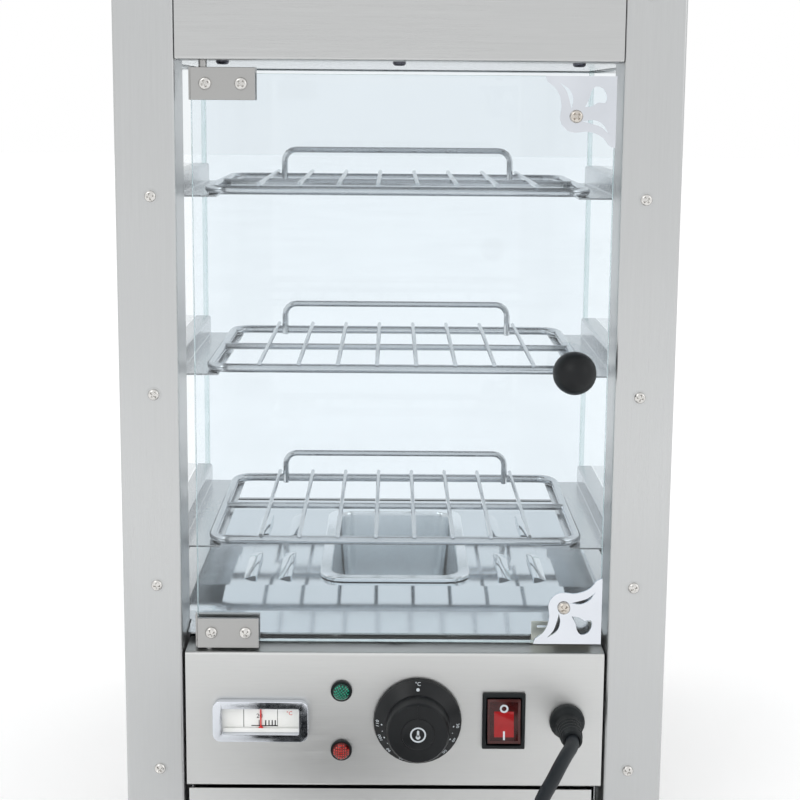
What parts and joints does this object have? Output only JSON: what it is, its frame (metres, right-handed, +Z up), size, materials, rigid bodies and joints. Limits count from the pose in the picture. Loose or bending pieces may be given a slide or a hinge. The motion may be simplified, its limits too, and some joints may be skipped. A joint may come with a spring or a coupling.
{
  "type": "food holding cabinet",
  "caption": "Heated countertop food holding cabinet with a hinged glass front door, glass side and back walls, removable wire shelves, a water pan and a crumb tray under its control panel.",
  "frame": {"origin": "centre of the bounding box on the surface the feet stand on, measured without the cord", "axes": "+Z up, +X to the right seen from the front, -Y towards the front where the door is"},
  "size_m": [0.35, 0.6302, 0.62],
  "materials": {
    "brushed_steel": "satin, line-brushed",
    "plain_steel": "plain cold-rolled stainless",
    "polished_steel": "bright polished stainless",
    "chrome": "bright plate",
    "heater_sheath": "heat-darkened sheath",
    "clear_glass": "clear tempered glass",
    "black_plastic": "black, satin",
    "black_rubber": "black, matt",
    "magnet": "dark grey sintered",
    "dial_white": "white printed dial",
    "pointer_red": "red lacquer",
    "red_lens": "translucent red",
    "green_lens": "translucent green"
  },
  "bodies": {
    "cabinet": {"base_bottom": "brushed_steel", "base_rear": "brushed_steel", "base_side_left": "brushed_steel", "base_side_right": "brushed_steel", "bracket_bottom_left": "plain_steel", "bracket_bottom_right": "plain_steel", "bracket_middle_left": "plain_steel", "bracket_middle_right": "plain_steel", "bracket_top_left": "plain_steel", "bracket_top_right": "plain_steel", "catch_angle": "plain_steel", "catch_magnet": "magnet", "ceiling_panel": "plain_steel", "control_panel": "brushed_steel", "cord_coil": "black_rubber", "cord_gland": "black_plastic", "deck": "plain_steel", "floor_plate": "polished_steel", "foot_front_left": "black_rubber", "foot_front_right": "black_rubber", "foot_rear_left": "black_rubber", "foot_rear_right": "black_rubber", "front_post_left": "brushed_steel", "front_post_right": "brushed_steel", "header_front": "brushed_steel", "header_left": "brushed_steel", "header_rear": "brushed_steel", "header_right": "brushed_steel", "heater_support": "heater_sheath", "heating_element": "heater_sheath", "pilot_green": "green_lens", "pilot_red": "red_lens", "power_cord": "black_rubber", "power_plug": "black_plastic", "rear_glass": "clear_glass", "roof_panel": "brushed_steel", "side_glass_left": "clear_glass", "side_glass_right": "clear_glass", "switch_housing": "black_plastic", "thermometer_bezel": "chrome", "thermometer_dial": "dial_white", "thermostat_body": "plain_steel", "tray_housing": "plain_steel"},
    "door": {"door_glass": "clear_glass", "hinge_upper_front": "plain_steel", "hinge_upper_back": "plain_steel", "hinge_lower_front": "plain_steel", "hinge_lower_back": "plain_steel", "door_knob": "black_plastic", "corner_plate_upper": "chrome", "corner_plate_lower": "chrome", "strike_plate": "plain_steel"},
    "thermostat_dial": {"thermostat_knob": "black_plastic"},
    "rocker": {"switch_rocker": "red_lens"},
    "pointer": {"thermometer_pointer": "pointer_red"},
    "lower_shelf": {"shelf_bottom": "chrome"},
    "middle_shelf": {"shelf_middle": "chrome"},
    "upper_shelf": {"shelf_top": "chrome"},
    "tray": {"crumb_tray": "brushed_steel"},
    "pan": {"water_pan": "polished_steel"}
  },
  "joints": [
    {"name": "door_hinge", "type": "hinge", "parent": "cabinet", "child": "door", "pos_m": [-0.121, -0.1635, 0.35], "axis": [0, 0, -1], "range_deg": [0, 110]},
    {"name": "thermostat_turn", "type": "hinge", "parent": "cabinet", "child": "thermostat_dial", "pos_m": [0.015, -0.172, 0.1165], "axis": [0, 1, 0], "range_deg": [0, 270]},
    {"name": "switch_rock", "type": "hinge", "parent": "cabinet", "child": "rocker", "pos_m": [0.0712, -0.167, 0.1165], "axis": [1, 0, 0], "range_deg": [0, 16]},
    {"name": "thermometer_swing", "type": "hinge", "parent": "cabinet", "child": "pointer", "pos_m": [-0.0871, -0.172, 0.1102], "axis": [0, 1, 0], "range_deg": [-40, 40]},
    {"name": "lower_shelf_slide", "type": "slide", "parent": "cabinet", "child": "lower_shelf", "axis": [0, -1, 0], "range_m": [0, 0.06]},
    {"name": "middle_shelf_slide", "type": "slide", "parent": "cabinet", "child": "middle_shelf", "axis": [0, -1, 0], "range_m": [0, 0.06]},
    {"name": "upper_shelf_slide", "type": "slide", "parent": "cabinet", "child": "upper_shelf", "axis": [0, -1, 0], "range_m": [0, 0.06]},
    {"name": "tray_slide", "type": "slide", "parent": "cabinet", "child": "tray", "axis": [0, -1, 0], "range_m": [0, 0.1]},
    {"name": "pan_lift", "type": "slide", "parent": "cabinet", "child": "pan", "axis": [0, 0, 1], "range_m": [0, 0.018]}
  ]
}
